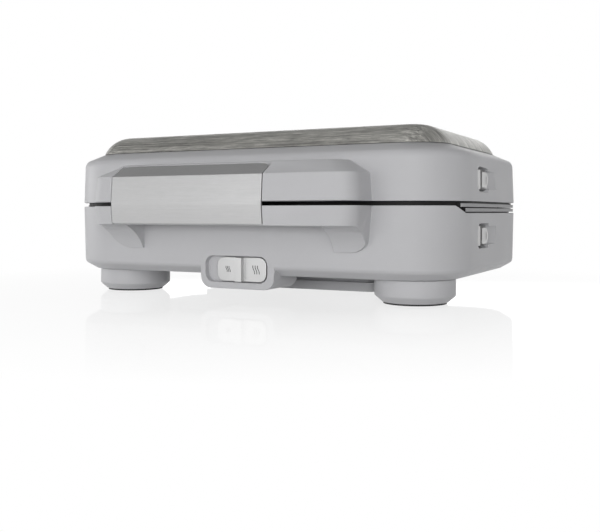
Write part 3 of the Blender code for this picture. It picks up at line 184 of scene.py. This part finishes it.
def noise(tree, scale, detail, roughness):
    """A noise pattern; the scale is in repeats per metre, for all axes or for each."""
    if not isinstance(scale, tuple):
        scale = (scale,) * 3
    inputs = {
        "Vector": stretched(tree, scale), "Scale": 1.0, "Detail": detail, "Roughness": roughness,
    }
    return add(tree, "ShaderNodeTexNoise", inputs).outputs["Fac"]


def edge_wear(tree, most):
    """Up to the most on convex edges, and 0 on flat faces."""
    pointiness = add(tree, "ShaderNodeNewGeometry").outputs["Pointiness"]
    return spread(tree, pointiness, 0.0, most, 0.53, 0.60)


def bump(tree, heights):
    """Stack bumps, each a (pattern, strength, distance in metres)."""
    normal = None
    for height, strength, distance in heights:
        inputs = {"Height": height, "Strength": strength, "Distance": distance}
        if normal is not None:
            inputs["Normal"] = normal
        normal = add(tree, "ShaderNodeBump", inputs).outputs["Normal"]
    return normal


# Makers of materials

def moulded(name, color, roughness, grain=2600.0, depth=0.00003, metallic=0.0):
    """Moulded plastic: a fine spark-eroded grain, faint clouding and edges polished by handling."""
    material, tree, shader = new_material(name)
    cloud = noise(tree, 38.0, 4.0, 0.55)
    fine = noise(tree, grain, 2.0, 0.6)
    speck = noise(tree, grain * 0.45, 3.0, 0.6)
    tone = blend_colors(tree, cloud, shade(color, 0.965), shade(color, 1.03))
    tone = blend_colors(tree, spread(tree, speck, 0.0, 0.10), tone, shade(color, 0.88))
    tone = blend_colors(tree, edge_wear(tree, 0.30), tone, shade(color, 1.16))
    set_inputs(tree, shader, {
        "Base Color": tone,
        "Roughness": spread(tree, cloud, roughness - 0.05, roughness + 0.05),
        "Metallic": metallic,
        "Specular IOR Level": 0.36,
        "Normal": bump(tree, [(fine, 0.45, depth), (speck, 0.30, depth * 1.6)]),
    })
    return material


def depth_inside(tree):
    """How far a point lies inside the body's rounded outline, seen from above."""
    center = (0.0, outline_center_y, 0.0)
    corner = (outline_half_width - outline_radius, outline_half_depth - outline_radius, 1.0)
    moved = calculate_vector(tree, "SUBTRACT", object_point(tree), center)
    folded = calculate_vector(tree, "ABSOLUTE", moved)
    beyond = calculate_vector(tree, "SUBTRACT", folded, corner)
    outer = calculate_vector(tree, "MAXIMUM", beyond)
    reach = calculate_vector(tree, "LENGTH", outer)
    return calculate(tree, "SUBTRACT", outline_radius, reach)


def grey_edge_painted_shade(name, color, dark, edge):
    """Moulded plastic in the body's grey at its outer edge; further in, its colour is painted
    shade, near black, standing in for the deep shadow in the gap between lid and base.
    """
    material, tree, shader = new_material(name)
    cloud = noise(tree, 38.0, 4.0, 0.55)
    fine = noise(tree, 2200.0, 2.0, 0.6)
    outside = blend_colors(tree, cloud, shade(color, 0.94), shade(color, 1.04))
    # painted shade: the inner part is coloured near black to stand in for the shadow deep in the
    # gap
    painted_shade_tone = blend_colors(tree, cloud, shade(dark, 0.8), shade(dark, 1.3))
    turn = spread(tree, depth_inside(tree), 0.0, 1.0, edge, edge + 0.0002)
    set_inputs(tree, shader, {
        "Base Color": blend_colors(tree, turn, outside, painted_shade_tone),
        "Roughness": spread(tree, cloud, 0.46, 0.56),
        "Specular IOR Level": 0.15,
        "Normal": bump(tree, [(fine, 0.45, 0.00004)]),
    })
    return material


def streaks(tree, across, along, detail, roughness):
    """Streaks along x, which run on down the faces that look sideways."""
    level = noise(tree, (along, across, across), detail, roughness)
    sideways = noise(tree, (along, across, along), detail, roughness)
    facing = add(tree, "ShaderNodeSeparateXYZ", {"Vector": surface_normal(tree)})
    side = calculate(tree, "ABSOLUTE", facing.outputs["X"])
    turn = spread(tree, side, 0.0, 1.0, 0.35, 0.60)
    return blend_values(tree, turn, level, sideways)


def brushed(name, color, roughness, contrast, streak, depth, metallic, speckle=0.0):
    """Metal brushed along x: long fine streaks, and shorter ones laid over them."""
    material, tree, shader = new_material(name)
    fine = streaks(tree, streak, streak * 0.012, 4.0, 0.65)
    short = streaks(tree, streak * 0.55, streak * 0.07, 5.0, 0.7)
    cloud = noise(tree, 22.0, 3.0, 0.5)
    fine_share = spread(tree, fine, 0.0, 1.0)
    short_share = spread(tree, short, 0.0, 0.5 + speckle)
    tone = blend_colors(tree, fine_share, shade(color, 1 - contrast), shade(color, 1 + contrast))
    tone = blend_colors(tree, short_share, tone, shade(color, 1 - contrast * 1.2))
    tone = blend_colors(tree, spread(tree, cloud, 0.0, 0.25), tone, shade(color, 1.12))
    set_inputs(tree, shader, {
        "Base Color": tone,
        "Roughness": spread(tree, short, roughness - 0.08, roughness + 0.08),
        "Metallic": metallic,
        "Normal": bump(tree, [(fine, 0.5, depth), (short, 0.4, depth)]),
    })
    return material


def coated(name, color, fleck):
    """A baked-on non-stick coating: satin, with pale flecks and a slight orange peel."""
    material, tree, shader = new_material(name)
    peel = noise(tree, 420.0, 2.0, 0.5)
    inputs = {"Vector": stretched(tree, (700.0,) * 3), "Scale": 1.0}
    cells = add(tree, "ShaderNodeTexVoronoi", inputs)
    spots = spread(tree, cells.outputs["Distance"], 0.75, 0.0, 0.08, 0.16)
    cloud = noise(tree, 30.0, 4.0, 0.6)
    tone = blend_colors(tree, cloud, shade(color, 0.9), shade(color, 1.1))
    tone = blend_colors(tree, spots, tone, fleck)
    tone = blend_colors(tree, edge_wear(tree, 0.35), tone, shade(color, 1.5))
    set_inputs(tree, shader, {
        "Base Color": tone,
        "Roughness": spread(tree, peel, 0.30, 0.40),
        "Normal": bump(tree, [(peel, 0.35, 0.00006)]),
    })
    return material


def sheet_metal(name, color, roughness, metallic=1.0, heat=0.0):
    """Rolled or plated sheet: soft clouding, faint scratches and, where it gets hot, staining."""
    material, tree, shader = new_material(name)
    cloud = noise(tree, 60.0, 5.0, 0.6)
    scratch = noise(tree, (60.0, 1400.0, 1400.0), 3.0, 0.6)
    tone = blend_colors(tree, cloud, shade(color, 0.88), shade(color, 1.06))
    if heat:
        stain = noise(tree, 24.0, 3.0, 0.5)
        tone = blend_colors(tree, spread(tree, stain, 0.0, heat), tone, (0.20, 0.13, 0.08))
    set_inputs(tree, shader, {
        "Base Color": tone,
        "Roughness": spread(tree, cloud, roughness - 0.07, roughness + 0.09),
        "Metallic": metallic,
        "Normal": bump(tree, [(scratch, 0.25, 0.00002)]),
    })
    return material


def grainy(name, color, roughness, scale, depth):
    """Matt rubber or fired ceramic: an even fine grain."""
    material, tree, shader = new_material(name)
    grain = noise(tree, scale, 4.0, 0.65)
    cloud = noise(tree, 45.0, 3.0, 0.5)
    set_inputs(tree, shader, {
        "Base Color": blend_colors(tree, cloud, shade(color, 0.85), shade(color, 1.12)),
        "Roughness": spread(tree, grain, roughness - 0.06, roughness + 0.06),
        "Normal": bump(tree, [(grain, 0.6, depth)]),
    })
    return material


def lens(name, color):
    """A clear tinted lamp lens, with a finely ribbed inside that catches light."""
    material, tree, shader = new_material(name)
    ribs = noise(tree, 1800.0, 1.0, 0.4)
    set_inputs(tree, shader, {
        "Base Color": blend_colors(tree, ribs, shade(color, 0.7), shade(color, 1.2)),
        "Roughness": spread(tree, ribs, 0.10, 0.18),
        "Transmission Weight": 0.35,
        "Coat Weight": 0.6,
        "Normal": bump(tree, [(ribs, 0.2, 0.00004)]),
    })
    return material


# One material for each slot of the record

materials = {
    "grey_plastic": moulded("grey_plastic_moulded", (0.575, 0.575, 0.590), 0.46),
    "brushed_panel": brushed(
        "panel_brushed", (0.63, 0.621, 0.583), roughness=0.42, contrast=0.74,
        streak=1250.0, depth=0.00020, metallic=0.60, speckle=0.35,
    ),
    "satin_silver": brushed(
        "satin_silver_brushed", (0.455, 0.455, 0.457), roughness=0.46, contrast=0.05,
        streak=2400.0, depth=0.00002, metallic=0.70,
    ),
    "silver_plastic": moulded(
        "silver_plastic_sprayed", (0.50, 0.50, 0.50), 0.33,
        grain=5200.0, depth=0.00001, metallic=0.65,
    ),
    "dark_plastic": moulded(
        "dark_plastic_moulded", (0.035, 0.035, 0.036), 0.52, grain=2200.0, depth=0.00004,
    ),
    # carrier rims: body grey at the outer edge, with painted shade further in where the gap between
    # the shells lies in shadow
    "frame_plastic": grey_edge_painted_shade(
        "frame_plastic_moulded", (0.44, 0.44, 0.448), (0.014, 0.014, 0.014), edge=0.0012,
    ),
    "plate_coating": coated("plate_coating_baked", (0.060, 0.052, 0.047), (0.30, 0.27, 0.24)),
    "aluminised_sheet": sheet_metal(
        "aluminised_sheet_rolled", (0.62, 0.62, 0.60), 0.32, heat=0.25,
    ),
    "element_sheath": sheet_metal(
        "element_sheath_drawn", (0.16, 0.155, 0.145), 0.48, metallic=0.8, heat=0.5,
    ),
    "zinc_steel": sheet_metal("zinc_steel_plated", (0.44, 0.44, 0.42), 0.38),
    "rubber": grainy("rubber_matt", (0.030, 0.030, 0.031), 0.82, scale=1500.0, depth=0.00008),
    "ceramic": grainy("ceramic_fired", (0.76, 0.74, 0.68), 0.60, scale=900.0, depth=0.00006),
    "red_lens": lens("red_lens_tinted", (0.60, 0.04, 0.03)),
    "green_lens": lens("green_lens_tinted", (0.06, 0.42, 0.10)),
}

for node in nodes.values():
    # A node's slot is the name of the material that it was packed with.
    slot_name = node.data.materials[0].name.split(".")[0]
    node["slot_name"] = slot_name
    for index in range(len(node.data.materials)):
        node.data.materials[index] = materials[slot_name]


# Pieces that stand for CAD nodes

def replace_node(name, mesh, suffix):
    """A piece with this mesh, in the place of a CAD node and on its body."""
    source = nodes[name]
    piece = bpy.data.objects.new(f"{name}_{suffix}", mesh)
    scene.collection.objects.link(piece)
    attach(piece, source["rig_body"])
    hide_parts(name)
    return piece


# Dressed copies of the pieces that show, with softened edges

flat_angle = math.radians(0.2)    # faces that turn less than this are joined
crisp_angle = math.radians(9)     # in a crisp box, an edge that turns more is sharp
rounded_angle = math.radians(24)  # elsewhere, an edge that turns more is rounded
room_per_width = 2.2              # room that a rounding needs on each face, in widths of it
unlimited = 1.0                   # more room than any face has
clear_turn = 0.6                  # sine of the turn from which a joined edge takes room
past_end = 0.0001                 # how far past an edge's end a point still lies beside it


def clear_width(face, edge):
    """The least room that a face has beside one of its edges."""
    ends = set(edge.verts)
    start = edge.verts[0].co
    length = edge.calc_length()
    along = (edge.verts[1].co - start) / length
    room = unlimited
    for other in face.edges:
        if other == edge:
            continue
        first, second = other.verts[0].co, other.verts[1].co
        line = second - first
        if ends & set(other.verts):
            turned = line.cross(along).length / line.length
            if turned > clear_turn:
                room = min(room, line.length * turned)
            continue
        for share in (0.0, 0.5, 1.0):
            point = start + along * length * share
            reach = min(1.0, max(0.0, (point - first).dot(line) / line.length_squared))
            offset = first + line * reach - start
            if -past_end < offset.dot(along) < length + past_end:
                room = min(room, offset.cross(along).length)
        for vert in other.verts:
            offset = vert.co - start
            if 0.0 < offset.dot(along) < length:
                room = min(room, offset.cross(along).length)
    return room


def lies_in(edge, boxes):
    middle = (edge.verts[0].co + edge.verts[1].co) / 2
    return any(all(low[i] <= middle[i] <= high[i] for i in range(3)) for low, high in boxes)


def mark_edges(solid, width, crisp):
    """Mark each edge for rounding, or as sharp where its faces have no room for it."""
    weights = solid.edges.layers.float.new("bevel_weight_edge")
    for edge in solid.edges:
        angle = edge.calc_face_angle(0.0)
        if lies_in(edge, crisp):
            edge.smooth = angle < crisp_angle
        elif angle >= rounded_angle:
            room = min(clear_width(face, edge) for face in edge.link_faces)
            if room > room_per_width * width:
                edge[weights] = 1.0
            else:
                edge.smooth = False


def dressed(name, width, crisp):
    """Replace a CAD node with its welded copy, its edges rounded where their faces have room.

    Edges inside the crisp boxes, each a lowest and a highest corner, stay sharp.
    """
    source = nodes[name]
    solid = bmesh.new()
    solid.from_mesh(source.data)
    bmesh.ops.remove_doubles(solid, verts=solid.verts, dist=same_point)
    bmesh.ops.dissolve_limit(
        solid, angle_limit=flat_angle, verts=solid.verts, edges=solid.edges,
    )
    for face in solid.faces:
        face.smooth = True
    mark_edges(solid, width, crisp)
    mesh = bpy.data.meshes.new(f"{name}_dressed")
    solid.to_mesh(mesh)
    solid.free()
    mesh.materials.append(source.data.materials[0])
    piece = replace_node(name, mesh, "dressed")
    rounding = piece.modifiers.new("rounding", "BEVEL")
    rounding.width = width
    rounding.segments = 3
    rounding.limit_method = "WEIGHT"
    rounding.use_clamp_overlap = False
    rounding.miter_outer = "MITER_ARC"
    seams = piece.modifiers.new("seams", "WELD")
    seams.merge_threshold = same_point
    shading = piece.modifiers.new("shading", "WEIGHTED_NORMAL")
    shading.keep_sharp = True
    shading.weight = 60


margin = 0.002             # how far a crisp box reaches past the form inside it
beyond_body = 0.110        # behind and above all of the object
notch_depth = 0.006        # of the finger notch behind a release button
notch_length = 0.019
notch_half_height = 0.0062
notch_overlap = 0.0005     # how far the notch's box reaches back over the button


def notch_beside(button):
    """The box of the finger notch behind a release button."""
    low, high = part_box(button)
    middle = (low.z + high.z) / 2
    return (
        (high.x - notch_depth, high.y - notch_overlap, middle - notch_half_height),
        (high.x + margin, high.y + notch_length, middle + notch_half_height),
    )


def boxes_around(distance, half_width, depths, heights):
    """Two boxes at the same distance left and right of the middle."""
    return [
        ((x - half_width, depths[0], heights[0]), (x + half_width, depths[1], heights[1]))
        for x in (-distance, distance)
    ]


leg_undersides = boxes_around(0.081, 0.022, (-0.0990, -0.0760), (0.0265, 0.0425))
hinge_roots = boxes_around(0.078, 0.018, (0.0870, beyond_body), (0.0, beyond_body))
gland_low, gland_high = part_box("cord_gland")
gland_hole = (
    (gland_low.x - margin, 0.0800, gland_low.z - margin),
    (gland_high.x + margin, beyond_body, gland_high.z + margin),
)
crisp_boxes = {
    "base_shell": [
        notch_beside("lower_release_button"), *leg_undersides, *hinge_roots, gland_hole,
    ],
    "lid_shell": [notch_beside("upper_release_button"), *hinge_roots],
}
edge_widths = {
    "base_shell": 0.0005,
    "lid_shell": 0.0005,
    "top_panel": 0.0004,
    "latch_plate": 0.0004,
    "temperature_slider": 0.0004,
    "lower_release_button": 0.0004,
    "upper_release_button": 0.0004,
    "front_foot_left": 0.0007,
    "front_foot_right": 0.0007,
    "rear_foot_left": 0.0007,
    "rear_foot_right": 0.0007,
    "lower_plate": 0.0008,
    "upper_plate": 0.0008,
}
for name, width in edge_widths.items():
    dressed(name, width, crisp_boxes.get(name, ()))


# Springs behind the release buttons, each a copy with a mesh of its own

def shortening(name):
    """Replace a spring with a copy that has a mesh of its own."""
    piece = replace_node(name, nodes[name].data.copy(), "live")
    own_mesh(piece)


shortening("lower_release_spring")
shortening("upper_release_spring")


# Heat marks printed on the slider's face

slider_low, slider_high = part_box("temperature_slider")
ridge_height = 0.0032    # the grip ridge stands this far in front of the face
print_depth = 0.00001    # how far the ink's middle stands in front of the face
ink_thickness = 0.00004
wave_steps = 14
mark_face_y = slider_low.y + ridge_height - print_depth
mark_z = (slider_low.z + slider_high.z) / 2


def wave_points(x, height, lean, swing):
    """The middle line of one rising heat wave, as (x, z) pairs."""
    points = []
    for step in range(wave_steps + 1):
        share = step / wave_steps
        sway = swing * math.sin(2 * math.pi * share)
        points.append((x + lean * (0.5 - share) + sway, mark_z + height * (share - 0.5)))
    return points


def heat_mark(name, center_x, height, spacing, stroke):
    """Three slanted heat waves side by side, as thin ribbons on the face."""
    mark = bmesh.new()
    for count in (-1, 0, 1):
        line = wave_points(center_x + count * spacing, height, height * 0.22, stroke * 0.55)
        for first, second in zip(line, line[1:]):
            corners = [(first, -1), (first, 1), (second, 1), (second, -1)]
            mark.faces.new([
                mark.verts.new((x + side * stroke / 2, mark_face_y, z))
                for (x, z), side in corners
            ])
    bmesh.ops.remove_doubles(mark, verts=mark.verts, dist=same_point)
    bmesh.ops.recalc_face_normals(mark, faces=mark.faces)
    mesh = bpy.data.meshes.new(name)
    mark.to_mesh(mesh)
    mark.free()
    mesh.materials.append(materials["dark_plastic"])
    piece = bpy.data.objects.new(name, mesh)
    scene.collection.objects.link(piece)
    ink = piece.modifiers.new("ink", "SOLIDIFY")
    ink.thickness = ink_thickness
    ink.offset = 0
    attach(piece, "slider")


heat_mark("low_heat_mark", slider_low.x + 0.0074, height=0.0034, spacing=0.00105, stroke=0.00042)
heat_mark("high_heat_mark", slider_high.x - 0.0067, height=0.0050, spacing=0.00155, stroke=0.00048)


# Floor and background

white = (1.0, 1.0, 1.0)
floor_reach = 6.0
floor_drop = 0.0002  # keeps the floor just clear of the feet


def fade_with_distance(tree, near, far, low, high):
    """A value that goes from low to high with the distance from the object's middle."""
    reach = calculate_vector(tree, "LENGTH", object_point(tree))
    return spread(tree, reach, low, high, near, far)


def sharp_rays(tree):
    """The ray kinds, and 1 for what is seen directly, in reflections or through glass."""
    kinds = add(tree, "ShaderNodeLightPath").outputs
    mirrored = calculate(tree, "MAXIMUM", kinds["Is Camera Ray"], kinds["Is Glossy Ray"])
    return kinds, calculate(tree, "MAXIMUM", mirrored, kinds["Is Transmission Ray"])


def mix_shaders(tree, share, first, second):
    return add(tree, "ShaderNodeMixShader", {0: share, 1: first, 2: second}).outputs["Shader"]


def floor_material():
    """A pale floor that looks white, keeps the shadow and faintly mirrors what is near."""
    material, tree, shader = new_material("floor_pale")
    set_inputs(tree, shader, {"Base Color": (0.90, 0.90, 0.90), "Roughness": 0.6})
    glow = add(tree, "ShaderNodeEmission", {"Color": white, "Strength": 1.0})
    mirror = add(tree, "ShaderNodeBsdfGlossy", {"Color": white, "Roughness": 0.04})
    kinds, sharp = sharp_rays(tree)
    whiteness = fade_with_distance(tree, 0.10, 0.30, 0.89, 1.0)
    glow_share = calculate(tree, "MULTIPLY", sharp, whiteness)
    gloss = fade_with_distance(tree, 0.12, 0.30, 0.15, 0.0)
    gloss_share = calculate(tree, "MULTIPLY", kinds["Is Camera Ray"], gloss)
    lit = mix_shaders(tree, glow_share, shader.outputs["BSDF"], glow.outputs["Emission"])
    surface = mix_shaders(tree, gloss_share, lit, mirror.outputs["BSDF"])
    set_inputs(tree, tree.nodes["Material Output"], {"Surface": surface})
    return material


def make_floor():
    mesh = bpy.data.meshes.new("floor")
    signs = [(-1, -1), (1, -1), (1, 1), (-1, 1)]
    corners = [(x * floor_reach, y * floor_reach, 0) for x, y in signs]
    mesh.from_pydata(corners, [], [(0, 1, 2, 3)])
    mesh.materials.append(floor_material())
    floor = bpy.data.objects.new("floor", mesh)
    floor.location.z = -floor_drop
    scene.collection.objects.link(floor)


def make_world(ambient, zenith):
    """An even dim sky, seen as white by the camera and, near the horizon, in reflections."""
    world = bpy.data.worlds.new("studio")
    scene.world = world
    world.use_nodes = True
    tree = world.node_tree
    kinds, sharp = sharp_rays(tree)
    direction = add(tree, "ShaderNodeTexCoord").outputs["Generated"]
    height = add(tree, "ShaderNodeSeparateXYZ", {"Vector": direction}).outputs["Z"]
    sky = spread(tree, height, 1.0, zenith, 0.12, 0.75)
    mirrored = blend_values(tree, kinds["Is Glossy Ray"], 1.0, sky)
    strength = blend_values(tree, sharp, ambient, mirrored)
    set_inputs(tree, tree.nodes["Background"], {"Color": white, "Strength": strength})


make_floor()
make_world(ambient=0.25, zenith=0.22)


# Lamps

def soft_light(name, location, target, size, power):
    data = bpy.data.lights.new(name, "AREA")
    data.shape = "RECTANGLE"
    data.size, data.size_y = size
    data.energy = power
    lamp = bpy.data.objects.new(name, data)
    lamp.location = location
    aim = Vector(target) - Vector(location)
    lamp.rotation_euler = aim.to_track_quat("-Z", "Y").to_euler()
    lamp.visible_camera = False
    scene.collection.objects.link(lamp)


front_half = (0.0, -0.05, 0.05)
rear_half = (0.0, 0.05, 0.05)
whole_object = (0.0, 0.0, 0.05)
soft_light("front_light", (0.0, -1.80, 0.15), front_half, (2.0, 0.5), 12.4)
soft_light("left_light", (-1.70, -0.40, 0.15), front_half, (1.0, 0.3), 4.3)
soft_light("right_light", (1.00, -1.50, 0.50), front_half, (1.0, 0.9), 6.1)
soft_light("back_light", (1.30, 1.10, 0.35), front_half, (1.0, 0.7), 0.45)
soft_light("rear_light", (-0.60, 1.70, 0.45), rear_half, (1.6, 0.6), 7.0)
soft_light("top_light", (0.0, 0.0, 1.8), whole_object, (1.2, 1.2), 2.0)
